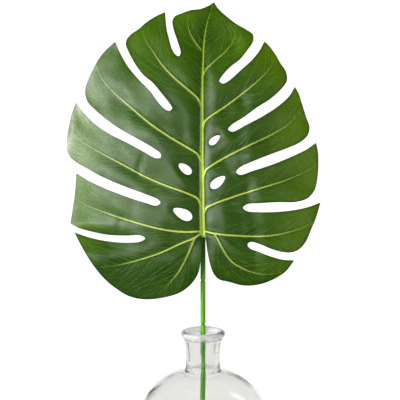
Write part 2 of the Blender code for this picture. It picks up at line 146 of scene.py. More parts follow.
# Small dents: place, half length, half width, heading in degrees, depth.
DENTS = [
    ((-63.5, 71.0), 10.0, 3.2, 78.0, 1.3),
    ((-101.0, 58.0), 9.0, 4.0, 60.0, 0.7),
    ((-84.0, 12.5), 8.0, 3.5, 70.0, 0.8),
    ((40.0, 132.0), 11.0, 5.0, 100.0, 0.9),
    ((44.0, 47.0), 10.0, 4.5, 85.0, 0.9),
    ((38.0, 8.0), 8.0, 4.5, 80.0, 0.8),
]

# Spacing of the fine blade's points, and how far they keep off the edges and off other rows.
EDGE_STEP = 1.5
HOLE_STEP = EDGE_STEP * 0.8
BEND_REACH = 5.0
RIB_STEP = 1.8
FIELD_STEP = 2.3
ROW_SHIFTS = (0, 0.5, -0.5, 0.85, -0.85, 1.1, -1.1, 1.8, -1.8)
EDGE_CLEARANCE = 0.6
ROW_CLEARANCE = 0.45
FIELD_CLEARANCE = 0.6 * FIELD_STEP

# The colour of the ribs, narrower than their relief. Blurs are spans of the distance over the paint's width.
MIDRIB_PAINT = 5.1
LATERAL_PAINT = 1.75
END_PAINT = 0.6
MIDRIB_BLUR = (0.42, 0.6)
LATERAL_BLUR = (0.36, 0.7)
STALK_REACH = 3.2
RIB_STRENGTH = (0.55, 0.85, 1.0, 1.0, 1.0, 0.95, 0.75, 0.6, 0.95, 1.0, 1.0, 1.0, 0.75)

# Changes of tone: how much, and the two values between which it comes in. Places are in millimetres.
MIDRIB_END_FADE = (0.6, 0.6, 1.0)
# Painted shade on the midrib's left half.
MIDRIB_LEFT_SHADE = (0.4, 0.5, -1.0)
LATERAL_END_FADE = (0.8, 0.5, 1.0)
# Painted shade over the foot lobes.
FOOT_SHADE = (0.8, 2, 30)
FOOT_SHADE_ACROSS = (-25, 50)
# Painted light: the crown, the right lobes and the left lobes' ends are lighter and yellower, less so beside
# the crown's midrib, at the crown's left and over the foot.
CROWN_PAINTED_LIGHT = (0.62, 105, 220)
CROWN_END_PAINTED_LIGHT = (0.35, 200, 234)
CROWN_LEFT_LIGHT_LOSS = (0.5, 15, 50)
CROWN_HEART = 26.0
RIGHT_PAINTED_LIGHT = (0.85, 35, 112)
LEFT_PAINTED_LIGHT = (0.6, 85, 138)
FOOT_LIGHT_LOSS = (0.2, 10, 60)
CROWN_MATT = (0.85, 135, 185)
CROWN_MATT_ACROSS = (-98, -80)
FOOT_MATT = (0.6, 5, 30)
LEFT_MATT = (0.3, 105, 125)
LEFT_MATT_UP = (60, 40)

# The painted shade of the valleys, by its start beside a rib and its reach, and the thin line of painted shade
# along each side rib.
MIDRIB_DARK = (2.0, 5.0)
LATERAL_DARK = (1.2, 3.0)
RIB_LINE = 1.5
RIB_LINE_GAP = 1.5
RIB_LINE_WIDTH = 0.6
MARGIN_REACH = 0.9

# The fine veins between the ribs. Their angles off the rib are at the rib and far from it, in radians.
VEIN_SEED = 11
VEIN_STEP = 2.2
VEIN_PITCH = 4.9
VEIN_START = 3.0
VEIN_JITTER = 1.7
VEIN_WIDTH = 0.36
VEIN_TAPER = 0.55
VEIN_HEIGHT = 0.05
VEIN_ROOT = 0.12
VEIN_MARGIN = 1.6
VEIN_LONGEST = 40
VEIN_SHORTEST = 3
MIDRIB_VEIN_ANGLES = (0.88, 0.70)
LATERAL_VEIN_ANGLES = (0.60, 0.36)
VEIN_TURN_REACH = 9.0
VEIN_LEAN = 0.09
VEIN_WIGGLE = 0.09
VEIN_WIGGLE_LENGTHS = (7, 13)
VEIN_MEETING = 0.8
FORK_SHARE = 0.3
FORK_LEAN = 0.25
FORK_LONGER_THAN = 8

# Leaf colours: deep, bright (the green of the painted light and of the streaks), side rib, midrib, margin, dim
# (the green of the painted shade and of the mottle). Vein colours: at the rib and at the vein's end.
FRONT_COLORS = (
    (0.028, 0.080, 0.003), (0.118, 0.235, 0.003), (0.58, 0.72, 0.11),
    (0.48, 0.66, 0.035), (0.012, 0.042, 0.003), (0.012, 0.046, 0.003),
)
REAR_COLORS = (
    (0.050, 0.120, 0.025), (0.095, 0.185, 0.030), (0.32, 0.42, 0.09),
    (0.36, 0.48, 0.09), (0.03, 0.08, 0.015), (0.03, 0.080, 0.016),
)
FRONT_VEIN_COLORS = ((0.125, 0.25, 0.042), (0.07, 0.155, 0.02))
REAR_VEIN_COLORS = ((0.16, 0.27, 0.07), (0.10, 0.19, 0.045))
FRONT_ROUGHNESS = 0.33
REAR_ROUGHNESS = 0.55
LEAF_SPECULAR = 0.42

# Heights on the vase between which the neck's ripples come and go, and the lip's cloud comes in.
RIPPLES_LOW = (138, 146)
RIPPLES_HIGH = (178, 168)
CLOUD_SPAN = (176, 181)
GLASS_GREY = (0.5, 0.5, 0.46)
GLASS_DENSITY = 26

# Lights that look at the leaf's middle: azimuth, distance, height, size, power.
LEAF_MIDDLE = (0, 0.03, 0.37)
LIGHTS = {
    "left_softbox": (-74, 1.45, 0.66, (0.55, 0.55), 22),
    "left_fill": (-46, 1.45, 0.62, (0.42, 0.5), 5),
    "left_strip": (-28, 1.5, 0.6, (0.22, 0.6), 3),
    "left_sheen": (-48, 1.45, 0.6, (0.3, 0.5), 2.5),
    "low_sheen": (-44, 1.3, 0.2, (0.5, 0.2), 0.9),
    "front_sheen": (-14, 1.5, 0.6, (0.2, 0.5), 2.6),
    "front_fill": (28, 1.7, 0.6, (0.6, 0.6), 10),
}

# Dark cards behind the vase that draw its edges: ends across, low and high edges, tone.
FLAG_Y = 0.08
FLAGS = {
    "left_flag": (-0.078, -0.135, 0.118, 0.165, 0.12),
    "right_flag": (0.036, 0.09, 0.14, 0.162, 0.62),
}

# The surroundings' light from the front to the back and from low to high, and its least through glass.
WORLD_DEPTH = (-0.15, 0.45, 0.035, 0.9)
WORLD_HEIGHT = (0.12, 0.7, 1.0, 0.3)
WORLD_THROUGH_GLASS = 0.6
# The floor's glow through the glass is lower near the vase: a painted shadow of the vase.
FLOOR_THROUGH_GLASS = (0.05, 0.5, 0.5, 0.8)
FLOOR_GLOW = (0, 1, 0.14, 1.0)

LEAF_TIP = (10.6, 234.3)
LEFT_CORNERS = [(-38.3, 224.5), (-88.3, 194.7), (-127.5, 133.8), (-127.2, 63.3), (-133, 13), (-129, 4)]
RIGHT_CORNERS = [(91.0, -24.0), (117.2, 34.0), (112.5, 93.7), (91.5, 149.7), (61.0, 195.0)]
CROWN_LEFT = [
    (5, 230.7), (-3, 227.6), (-13, 226.3), (-23, 222.7), (-28.4, 220.2), (-31, 215.5),
    (-29.8, 207), (-26.5, 197), (-23.6, 188),
    (-22.8, 183.5), (-24.5, 180.3), (-28, 182),
    (-31.2, 187), (-34.2, 197), (-36.8, 208),
]
LOBE_LEFT_1 = [
    (-48, 220), (-58, 213.5), (-64, 208), (-72, 202.5), (-76.3, 197.7), (-77.7, 192.5),
    (-75, 185), (-68, 172), (-60, 161.5), (-51, 154), (-42, 143.3), (-34, 133.2),
    (-31.2, 128.2), (-34, 125.7), (-39, 127.7),
    (-45, 134), (-53.5, 145.5), (-65, 157.3), (-76, 170.7), (-83.5, 184),
]
LOBE_LEFT_2 = [
    (-98, 186), (-105, 177), (-112, 164), (-117, 152), (-118.2, 144), (-116, 135),
    (-109.5, 127.7), (-97, 117), (-81, 106), (-62, 95.5), (-49, 87.7),
    (-42.7, 82.5), (-42.8, 79), (-48, 78.4),
    (-58, 83.7), (-75, 93), (-93, 102), (-108, 112), (-120, 124),
]
LOBE_LEFT_3 = [
    (-132, 121.5), (-135, 107), (-136.7, 92), (-134.7, 81.5), (-129, 75.5),
    (-117, 68.3), (-100, 59), (-78, 49.7), (-56, 41.5),
    (-45.5, 37), (-43, 33.7), (-47, 30.8),
    (-58, 33.6), (-75, 39), (-96, 47), (-114, 55.2),
]
LOBE_LEFT_4_RIM = [(-128, 48), (-130.2, 31)]
LOBE_LEFT_4_SLOT = [
    (-125, 8.6), (-111, 4.6), (-95, 1.5), (-78, 0.8),
    (-62.5, 0.8), (-58.4, -2), (-62.5, -5),
    (-77, -6.3), (-95, -4.9), (-112, -1.6),
]
FOOT_LOBES = [
    (-123, -8), (-113, -25), (-100, -41.5), (-87, -52.5), (-74, -60), (-59, -63), (-40, -61.3),
    (-23, -56), (-12, -47.5), (-5.4, -37.5), (-3.2, -28), (-2.6, -15),
    (-2.6, -6), (-1.9, -2.4), (0, -1), (1.9, -2.4), (2.7, -6),
    (3.8, -14), (6.4, -27), (10.2, -37.3), (15.6, -43), (26, -45.7), (38, -48.9), (49, -49.2),
    (61, -46.8), (74, -41), (83, -34.5),
]
LOBE_RIGHT_4 = [
    (79, -23.2), (65, -19.2), (54, -14.9),
    (46.5, -12), (44.2, -8), (47.5, -5.6),
    (56, -7.6), (68, -12.6), (79, -15.6), (88, -16), (96, -12.8), (102.5, -5.3),
    (107.5, 6), (113, 19.5),
]
LOBE_RIGHT_3 = [
    (106, 29.8), (93, 26.7), (76, 24.7), (57, 24.2),
    (43.5, 25.4), (39.6, 28.6), (43.5, 32),
    (57, 33.2), (75, 34.2), (92, 34.4), (104, 38), (111.3, 46.5),
    (114.3, 60), (115.1, 76), (114.2, 87.5),
]
LOBE_RIGHT_2 = [
    (104, 87.5), (90, 80.6), (70, 72.3), (49, 65.4),
    (36.5, 61.6), (32.9, 64.5), (36.5, 69),
    (48, 74.4), (67, 82), (85, 88.7), (97, 94.3), (104.3, 101.2), (106.2, 109),
    (102.8, 119.5), (98.3, 134), (95.2, 143.2),
]
LOBE_RIGHT_1 = [
    (86.5, 141.2), (77, 132), (61, 121.2), (43, 111.7),
    (29, 104.8), (24.8, 107), (28, 111.3),
    (40, 119), (54, 129.2), (67, 137.5), (78, 147.5), (83.6, 156), (82.5, 165),
    (77, 173.5), (71.5, 183), (65.5, 191),
]
CROWN_RIGHT = [
    (56.5, 186.5), (49, 177), (37, 166), (27, 157),
    (20, 153), (16, 155.2), (18.5, 160.2),
    (27, 169.5), (36.5, 177), (44.5, 187), (49.8, 195.5), (49.5, 202), (43.5, 206.6),
    (33, 212.7), (22, 221.2), (14.5, 228.3),
]
HOLES = [
    ((-18.3, 67.6), 7.7, 4.1, -38.0, 0.18),
    ((-20.9, 22.6), 10.4, 5.1, -27.0, 0.28),
    ((11.2, 96.4), 6.6, 3.3, 222.0, 0.22),
    ((14.5, 54.3), 9.0, 4.3, 219.0, 0.28),
]
MIDRIB = [
    (-0.5, 2), (-1, 22), (-1.2, 47), (-1.5, 77), (-1.3, 107), (-1.2, 137), (-1, 157),
    (-0.2, 177), (0.3, 190), (1.8, 204), (3.8, 214), (7.3, 225), (8.6, 229.5),
]
SIDE_RIBS = [
    [(-0.5, 185), (-7.5, 193.5), (-13.7, 204.5), (-15.7, 214), (-14.7, 221)],
    [(-2, 131), (-5.5, 138), (-16, 147.5), (-28, 157.7), (-40, 170), (-51, 185.5), (-58.5, 197.5),
     (-60.5, 205.5)],
    [(-2.7, 76), (-5.5, 82), (-15, 88.3), (-33, 99), (-53, 112.7), (-73, 129.5), (-91, 145.3),
     (-101.5, 158.5), (-106, 169.5)],
    [(-2.7, 31), (-5.5, 37.5), (-15, 42.5), (-38, 51), (-58, 59.6), (-83, 73.2), (-106, 85.5), (-122, 95.2),
     (-130.5, 103.5)],
    [(-2, 5), (-18, 4.4), (-36, 6), (-53, 9.7), (-78, 16.8), (-103, 25.3), (-118, 31.2), (-127.5, 36.5)],
    [(-1.5, 4), (-8, -1), (-23, -7.3), (-43, -16.5), (-63, -23.2), (-83, -28.3), (-103, -31)],
    [(-8.5, -1.3), (-11.5, -9), (-17.5, -22.5), (-25, -36), (-35.5, -48.5), (-45, -58.5)],
    [(-0.4, 161), (3, 167.5), (12, 176), (22.5, 185.5), (30, 195.5), (32, 205), (31.3, 211)],
    [(-0.4, 109), (1.5, 115), (7, 120), (22, 130), (37, 141.3), (52, 153.5), (64, 165.3), (71, 177)],
    [(0, 60), (2.3, 66.2), (10, 72), (27, 81.7), (47, 91.7), (67, 101.2), (84, 111.5), (96.5, 124.5)],
    [(0.7, 23), (2.7, 28), (10, 32.2), (32, 40.2), (57, 48.2), (82, 56), (100, 63.7), (112, 70)],
    [(0.5, 5.5), (9, 3.2), (27, 1.1), (52, 0), (72, 1.3), (92, 6.2), (109, 12.7)],
    [(10.5, 2.8), (14, -2.5), (19.5, -13), (27, -24), (37, -31), (51, -36.5), (65, -38), (78, -36)],
]


def soft_step(low, high, value):
    share = np.clip((value - low) / (high - low), 0, 1)
    return share * share * (3 - 2 * share)


def changed(change, value):
    """A change of tone at a value, from 0 to the whole change."""
    amount, low, high = change
    return amount * soft_step(low, high, value)


def smooth_line(points, step):
    """Points on a centripetal Catmull-Rom curve through points, both ends included, closer in tight bends."""
    knots = np.array(points, float)
    knots = np.vstack([2 * knots[0] - knots[1], knots, 2 * knots[-1] - knots[-2]])
    fine = []
    for p0, p1, p2, p3 in zip(knots, knots[1:], knots[2:], knots[3:]):
        t1, t2, t3 = np.cumsum([np.linalg.norm(b - a) ** 0.5 for a, b in ((p0, p1), (p1, p2), (p2, p3))])
        t = np.linspace(t1, t2, 16, endpoint=False)[:, None]
        a1 = (t1 - t) / t1 * p0 + t / t1 * p1
        a2 = (t2 - t) / (t2 - t1) * p1 + (t - t1) / (t2 - t1) * p2
        a3 = (t3 - t) / (t3 - t2) * p2 + (t - t2) / (t3 - t2) * p3
        b1 = (t2 - t) / t2 * a1 + t / t2 * a2
        b2 = (t3 - t) / (t3 - t1) * a2 + (t - t1) / (t3 - t1) * a3
        fine.extend((t2 - t) / (t2 - t1) * b1 + (t - t1) / (t2 - t1) * b2)
    fine = np.vstack([fine, knots[-2]])
    hops = np.diff(fine, axis=0)
    heading = np.unwrap(np.arctan2(hops[:, 1], hops[:, 0]))
    turn = np.abs(np.diff(heading, prepend=heading[0]))
    along = np.concatenate([[0], np.cumsum(np.linalg.norm(hops, axis=1) + BEND_REACH * turn)])
    places = np.linspace(0, along[-1], max(2, round(along[-1] / step)) + 1)
    return np.column_stack([np.interp(places, along, fine[:, i]) for i in range(knots.shape[1])])


def leaf_outline(step):
    """The blade's edge as one closed line of points."""
    corners = [LEAF_TIP, *LEFT_CORNERS, *RIGHT_CORNERS, LEAF_TIP]
    runs = [
        CROWN_LEFT, LOBE_LEFT_1, LOBE_LEFT_2, LOBE_LEFT_3, LOBE_LEFT_4_RIM, LOBE_LEFT_4_SLOT, FOOT_LOBES,
        LOBE_RIGHT_4, LOBE_RIGHT_3, LOBE_RIGHT_2, LOBE_RIGHT_1, CROWN_RIGHT,
    ]
    line = []
    for start, run, end in zip(corners, runs, corners[1:]):
        line.extend(smooth_line([start, *run, end], step)[:-1])
    return np.array(line)


def hole_outline(hole, step):
    (across, up), half_length, half_width, heading, taper = hole
    count = max(10, round(math.pi * (half_length + half_width) / step))
    turn = np.arange(count) * 2 * math.pi / count
    along = half_length * np.cos(turn)
    aside = half_width * np.sin(turn) * (1 + taper * np.cos(turn))
    angle = math.radians(heading)
    return np.column_stack([
        across + along * math.cos(angle) - aside * math.sin(angle),
        up + along * math.sin(angle) + aside * math.cos(angle),
    ])


def edge_loops():
    """The blade's edge, then its holes' edges."""
    return [leaf_outline(EDGE_STEP), *(hole_outline(hole, HOLE_STEP) for hole in HOLES)]


def inside(points, loop):
    """Which points lie inside a closed line, by counting crossings a few thousand points at a time."""
    ax, ay = loop[:, 0], loop[:, 1]
    bx, by = np.roll(ax, -1), np.roll(ay, -1)
    found = []
    for part in np.array_split(points, max(1, len(points) // 4000)):
        x, y = part[:, 0, None], part[:, 1, None]
        spans = (ay > y) != (by > y)
        with np.errstate(divide="ignore", invalid="ignore"):
            crossing = x < (bx - ax) * (y - ay) / (by - ay) + ax
        found.append((spans & crossing).sum(1) % 2 == 1)
    return np.concatenate(found)


def unit(vectors):
    return vectors / np.linalg.norm(vectors, axis=1)[:, None]


def aside_of(headings):
    """The directions square to some flat headings, on their left."""
    return np.column_stack([-headings[:, 1], headings[:, 0]])


def nearest_on(line, points):
    """Each point's distance to a line, how far along it that is from 0 to 1, and the line's heading there."""
    starts, ends = line[:-1], line[1:]
    run = ends - starts
    share = ((points[:, None] - starts) * run).sum(2) / (run**2).sum(1)
    share = np.clip(share, 0, 1)
    gaps = np.linalg.norm(points[:, None] - starts - share[..., None] * run, axis=2)
    best = gaps.argmin(1)
    rows = np.arange(len(points))
    return gaps[rows, best], (best + share[rows, best]) / len(starts), unit(run[best])


def rib_width(root_width, along):
    return RIB_END_WIDTH + (root_width - RIB_END_WIDTH) * (1 - along)


def rib_thickness(distance, along, root_width, root_thickness):
    """The blade's thickness at a rib: half round across it, and thinning towards the rib's end."""
    half = rib_width(root_width, along) / 2
    crown = np.sqrt(np.clip(1 - (distance / half) ** 2, 0, 1))
    return BLADE_THICKNESS + (root_thickness - BLADE_THICKNESS) * (1 - RIB_THINNING * along) * crown


def blade_depth(points, lines):
    """How far each point of the blade stands towards the viewer."""
    across, up = points[:, 0], points[:, 1]
    gap, along, _ = nearest_on(lines[0], points)
    root_fade = 1 - np.exp(-gap / MIDRIB_VALLEY_WIDTH)
    depth = MIDRIB_VALLEY * (1 - MIDRIB_VALLEY_FADE * along) * root_fade
    groove = np.zeros(len(points))
    for rib in lines[1:]:
        gap, along, _ = nearest_on(rib, points)
        groove = np.maximum(groove, (1 - along) ** 0.5 * np.exp(-gap / LATERAL_VALLEY_WIDTH))
    depth -= LATERAL_VALLEY * groove * root_fade
    change = CROWN_CURL * soft_step(*CROWN_CURL_SPAN, up) - FOOT_LIFT * soft_step(*FOOT_LIFT_SPAN, up)
    curl = np.where(across < 0, LEFT_CURL * (1 + change), RIGHT_CURL)
    depth -= curl * (np.abs(across) / HALF_WIDTH) ** CURL_POWER
    depth -= TIP_BEND * (np.clip(up - TIP_BEND_START, 0, None) / TIP_BEND_REACH) ** 2
    depth -= FOOT_BEND * (np.clip(-up - FOOT_BEND_START, 0, None) / FOOT_BEND_REACH) ** 2
    return depth


def blade_points(points, depth):
    """The (across, up, towards the viewer) places of a blade measured on a picture:
    what lies further back is a little larger than it measures there."""
    spread = 1 - depth / VIEW_DISTANCE
    centre = np.array(VIEW_CENTRE)
    flat = centre + (points - centre) * spread[:, None]
    return np.column_stack([flat, depth])


def stem_line_y(height):
    """The stem leans straight from the vase's floor to the back of its lip."""
    rim_contact = LIP_BORE - STEM_RADIUS - SEAT_GAP
    slope = (rim_contact - STEM_FOOT_Y) / (VASE_HEIGHT - 3.0 - BASE_THICKNESS)
    return STEM_FOOT_Y + slope * (height - BASE_THICKNESS)


def blade_frame():
    """The blade's base, and its across, up and facing directions."""
    across = np.array([1.0, 0, 0])
    up = np.array([0, math.sin(LEAF_TILT), math.cos(LEAF_TILT)])
    facing = np.array([0, -math.cos(LEAF_TILT), math.sin(LEAF_TILT)])
    height = VASE_HEIGHT + BASE_ABOVE_RIM
    behind = MIDRIB_THICKNESS * BACK_SHARE + SEAT_GAP + STEM_RADIUS
    base = np.array([BASE_ACROSS, stem_line_y(height), height]) + behind * facing
    return base, across, up, facing


def in_frame(places):
    """Metres in the row frame, from (across, up, towards the viewer)."""
    base, across, up, facing = blade_frame()
    return (base + places @ np.array([across, up, facing])) * MM


def ribs():
    """The midrib, then the side ribs, as fine lines."""
    return [smooth_line(MIDRIB, 2.0), *(smooth_line(points, 2.0) for points in SIDE_RIBS)]


def within_blade(points, loops):
    found = inside(points, loops[0])
    for hole in loops[1:]:
        found &= ~inside(points, hole)
    return found


def gap_finder(points):
    """A function that gives each point's distance to the nearest of points."""
    tree = kdtree.KDTree(len(points))
    for index, (x, y) in enumerate(points.tolist()):
        tree.insert((x, y, 0), index)
    tree.balance()
    return lambda asked: np.array([tree.find((x, y, 0))[2] for x, y in asked.tolist()])


def rows_along(points, root_width, step):
    """Points on a rib's centre line, its shoulders, its flanks and just beyond them."""
    rib = smooth_line(points, step)
    normal = aside_of(unit(np.gradient(rib, axis=0)))
    half = rib_width(root_width, np.linspace(0, 1, len(rib)))[:, None] / 2
    return np.vstack([rib + shift * half * normal for shift in ROW_SHIFTS])


def blade_triangles():
    """The fine blade's points and triangles, flat, split along its edges and ribs."""
    loops = edge_loops()
    edge_gap = gap_finder(np.vstack(loops))
    rows = np.zeros((0, 2))
    for points, width in [(MIDRIB, MIDRIB_WIDTH), *((points, LATERAL_WIDTH) for points in SIDE_RIBS)]:
        new_rows_and_painted_light = rows_along(points, width, RIB_STEP)
        keep = edge_gap(new_rows_and_painted_light) > EDGE_CLEARANCE
        if len(rows):
            keep &= gap_finder(rows)(new_rows_and_painted_light) > ROW_CLEARANCE
        rows = np.vstack([rows, new_rows_and_painted_light[keep]])
    low, high = loops[0].min(0), loops[0].max(0)
    row_step = FIELD_STEP * math.sqrt(3) / 2
    lattice = np.array([
        (x + (i % 2) * FIELD_STEP / 2, y)
        for i, y in enumerate(np.arange(low[1], high[1], row_step))
        for x in np.arange(low[0], high[0], FIELD_STEP)
    ])
    lattice = lattice[gap_finder(np.vstack([*loops, rows]))(lattice) > FIELD_CLEARANCE]
    inner = np.vstack([rows, lattice])
    inner = inner[within_blade(inner, loops)]
    edges, start = [], 0
    for loop in loops:
        count = len(loop)
        edges += [(start + i, start + (i + 1) % count) for i in range(count)]
        start += count
    everything = np.vstack([*loops, inner])
    places, _, triangles, *_ = delaunay_2d_cdt([Vector(p) for p in everything.tolist()], edges, [], 0, 1e-4)
    flat = np.array([tuple(p) for p in places])
    triangles = np.array(triangles)
    triangles = triangles[within_blade(flat[triangles].mean(1), loops)]
    used, triangles = np.unique(triangles, return_inverse=True)
    flat = flat[used]
    return flat, triangles.reshape(-1, 3), edge_gap(flat)


def in_scene(name, data):
    obj = bpy.data.objects.new(name, data)
    bpy.context.scene.collection.objects.link(obj)
    return obj


def look_at(obj, place, target):
    obj.location = place
    obj.rotation_euler = (Vector(target) - Vector(place)).to_track_quat("-Z", "Y").to_euler()
    return obj


def new_object(name, verts, faces, materials):
    mesh = bpy.data.meshes.new(name)
    mesh.from_pydata(verts.tolist(), [], faces)
    mesh.update()
    for material in materials:
        mesh.materials.append(material)
    mesh.shade_smooth()
    return in_scene(name, mesh)


def add_attribute(obj, name, values):
    layer = obj.data.attributes.new(name, "FLOAT", "POINT")
    layer.data.foreach_set("value", np.asarray(values, np.float32))


def tube_faces(rings, turn=1):
    """The sides between rings of points and a cap on each end; turn -1 faces them the other way."""
    size = len(rings[0])
    faces = [
        [low[k], low[(k + 1) % size], high[(k + 1) % size], high[k]]
        for low, high in zip(rings, rings[1:]) for k in range(size)
    ]
    return [face[::turn] for face in [*faces, rings[0][::-1], rings[-1]]]


def paint_width(root, along):
    return END_PAINT + (root - END_PAINT) * (1 - along)


def blade_relief(flat, lines):
    """How far the front and the back stand off the blade's middle: ribs, and a channel down the midrib."""
    gap, along, _ = nearest_on(lines[0], flat)
    thickness = rib_thickness(gap, along, MIDRIB_WIDTH, MIDRIB_THICKNESS)
    reach = rib_width(MIDRIB_WIDTH, along) * CHANNEL_REACH
    channel = MIDRIB_CHANNEL * (1 - along) ** 0.5 * np.exp(-((gap / reach) ** 2))
    beside = 1 - np.exp(-((gap / RIB_ROOF_START) ** 2))
    roof = np.zeros(len(flat))
    for rib in lines[1:]:
        gap, along, _ = nearest_on(rib, flat)
        thickness = np.maximum(thickness, rib_thickness(gap, along, LATERAL_WIDTH, LATERAL_THICKNESS))
        roof = np.maximum(roof, RIB_ROOF * (1 - along) ** 0.7 * np.exp(-((gap / RIB_ROOF_WIDTH) ** 2)))
    roof *= beside
    return thickness * (1 - BACK_SHARE) - channel + roof, thickness * BACK_SHARE - roof


def turned(headings, angles):
    cos, sin = np.cos(angles), np.sin(angles)
    return np.column_stack([
        headings[:, 0] * cos - headings[:, 1] * sin,
        headings[:, 0] * sin + headings[:, 1] * cos,
    ])


def swell(flat, edge_gap):
    """Soft unevenness of the blade, fading out at its margin, and the dimple that each hole is punched in."""
    across, up = flat[:, 0], flat[:, 1]
    hole_gap = gap_finder(np.vstack(edge_loops()[1:]))(flat)
    waves = np.zeros(len(flat))
    rng = np.random.RandomState(SWELL_SEED)
    for wavelength, height in SWELL_WAVES:
        for _ in range(4):
            heading, phase = rng.uniform(0, math.pi), rng.uniform(0, 2 * math.pi)
            run = turned(flat, -heading)[:, 0]
            waves += 0.5 * height * np.sin(2 * math.pi * run / wavelength + phase)
    waves *= SWELL * (1 - np.exp(-edge_gap / SWELL_EDGE_FADE)) * soft_step(*SWELL_START, np.abs(across))
    for index, (ends, half, drop) in enumerate(FOLDS):
        line = np.interp(up, FOLD_HEIGHTS, ends) + FOLD_SWAY * np.sin(up / FOLD_SWAY_LENGTH + index)
        strength = 1 - FOLD_CHANGE + FOLD_CHANGE * np.sin(up / FOLD_CHANGE_LENGTH + 2 * index)
        waves -= drop * strength * soft_step(-half, half, (across - line) * math.copysign(1, ends[0]))
    for place, half_length, half_width, heading, depth in DENTS:
        run, aside = turned(flat - np.array(place), -math.radians(heading)).T
        waves -= depth * np.exp(-((run / half_length) ** 2) - (aside / half_width) ** 2)
    return waves - HOLE_DIMPLE * np.exp(-hole_gap / HOLE_DIMPLE_REACH)


def dark_beside(gap, dark):
    start, reach = dark
    return np.exp(-np.clip(gap - start, 0, None) / reach)


def blade_tones(flat, lines, edge_gap):
    """The tones over the blade that its materials are mixed by: painted ribs, painted shade, painted light and
    the gloss.
    """
    across, up = flat[:, 0], flat[:, 1]
    gap, along, _ = nearest_on(lines[0], flat)
    rib = 1 - soft_step(*MIDRIB_BLUR, gap / paint_width(MIDRIB_PAINT, along))
    rib *= 1 - changed(MIDRIB_END_FADE, along)
    # Painted shade: the midrib's left half is painted darker.
    rib *= 1 - changed(MIDRIB_LEFT_SHADE, across - np.interp(up, lines[0][:, 1], lines[0][:, 0]))
    # Painted shade beside the midrib and beside each side rib, with a thin line of it along each side rib.
    painted_shade = dark_beside(gap, MIDRIB_DARK)
    stalk = (gap < STALK_REACH).astype(float)
    for line, strength in zip(lines[1:], RIB_STRENGTH):
        gap, along, _ = nearest_on(line, flat)
        fade = strength * (1 - changed(LATERAL_END_FADE, along))
        share = gap / (paint_width(LATERAL_PAINT, along) * (0.5 + 0.5 * strength))
        rib = np.maximum(rib, fade * (1 - soft_step(*LATERAL_BLUR, share)))
        painted_shade = np.maximum(painted_shade, (1 - along) * dark_beside(gap, LATERAL_DARK))
        thin_line = np.exp(-(((gap - RIB_LINE_GAP) / RIB_LINE_WIDTH) ** 2))
        painted_shade = np.maximum(painted_shade, RIB_LINE * strength * (1 - along) ** 0.5 * thin_line)
    # Painted shade over the foot lobes.
    painted_shade = np.maximum(painted_shade, changed(FOOT_SHADE, -up) * soft_step(*FOOT_SHADE_ACROSS, -across))
    # Painted light over the crown, the right lobes and the left lobes' ends, lessened at the crown's middle
    # and left and over the foot.
    heart = 1 - np.exp(-((across / CROWN_HEART) ** 2))
    crown = changed(CROWN_PAINTED_LIGHT, up) * (0.25 + 0.75 * heart) + changed(CROWN_END_PAINTED_LIGHT, up)
    crown *= 1 - changed(CROWN_LEFT_LIGHT_LOSS, -across)
    new_rows_and_painted_light = crown + changed(RIGHT_PAINTED_LIGHT, across) + changed(LEFT_PAINTED_LIGHT, -across)
    new_rows_and_painted_light -= changed(FOOT_LIGHT_LOSS, -up)
    gloss = 1 - changed(CROWN_MATT, up) * soft_step(*CROWN_MATT_ACROSS, across) - changed(FOOT_MATT, -up)
    gloss -= changed(LEFT_MATT, -across) * soft_step(*LEFT_MATT_UP, up)
    return {
        "rib": rib, "painted_shade": painted_shade, "margin": np.exp(-edge_gap / MARGIN_REACH),
        "new_rows_and_painted_light": np.clip(new_rows_and_painted_light, 0, 1), "stalk": stalk, "gloss": gloss,
    }


def make_blade(materials):
    """The fine blade, bent as the part's: its front, its back and the cut edge each in its own material."""
    flat, triangles, edge_gap = blade_triangles()
    lines = ribs()
    depth = blade_depth(flat, lines) + swell(flat, edge_gap)
    front, back = blade_relief(flat, lines)
    count = len(flat)
    sides = set()
    for a, b, c in triangles.tolist():
        for edge in ((a, b), (b, c), (c, a)):
            sides.add(edge)
    rim = [(a, b) for a, b in sides if (b, a) not in sides]
    a, b, c = flat[triangles[0]]
    turn = 1 if np.cross(b - a, c - a) > 0 else -1
    faces = [tuple(t[::turn]) for t in triangles.tolist()]
    faces += [tuple(v + count for v in t[::-turn]) for t in triangles.tolist()]
    faces += [((b, a, a + count, b + count))[::turn] for a, b in rim]
    places = np.vstack([blade_points(flat, depth + front), blade_points(flat, depth - back)])
    obj = new_object("leaf_surface", in_frame(places), faces, materials)
    slots = np.repeat([0, 1, 2], [len(triangles), len(triangles), len(rim)])
    obj.data.polygons.foreach_set("material_index", slots.astype(np.int32))
    borders = {tuple(sorted(edge)) for edge in rim} | {tuple(sorted((a + count, b + count))) for a, b in rim}
    for edge in obj.data.edges:
        edge.use_edge_sharp = tuple(sorted(edge.vertices)) in borders
    for name, values in blade_tones(flat, lines, edge_gap).items():
        add_attribute(obj, name, np.tile(values, 2))
    return obj


def vein_seeds(lines, rng):
    """Where the fine veins leave the ribs: place, rib and side."""
    places, owners, sides = [], [], []
    for owner, line in enumerate(lines):
        root = MIDRIB_WIDTH if owner == 0 else LATERAL_WIDTH
        reach = np.concatenate([[0], np.cumsum(np.linalg.norm(np.diff(line, axis=0), axis=1))])
        for side in (1, -1):
            marks = np.arange(VEIN_START + rng.rand() * VEIN_START, reach[-1] - 1, VEIN_PITCH)
            marks = marks + rng.uniform(-VEIN_JITTER, VEIN_JITTER, len(marks))
            spots = np.column_stack([np.interp(marks, reach, line[:, i]) for i in range(2)])
            _, along, heading = nearest_on(line, spots)
            half = rib_width(root, along)[:, None] / 2
            places.append(spots + side * 0.8 * half * aside_of(heading))
            owners.append(np.full(len(marks), owner))
            sides.append(np.full(len(marks), side))
    return np.vstack(places), np.concatenate(owners), np.concatenate(sides)


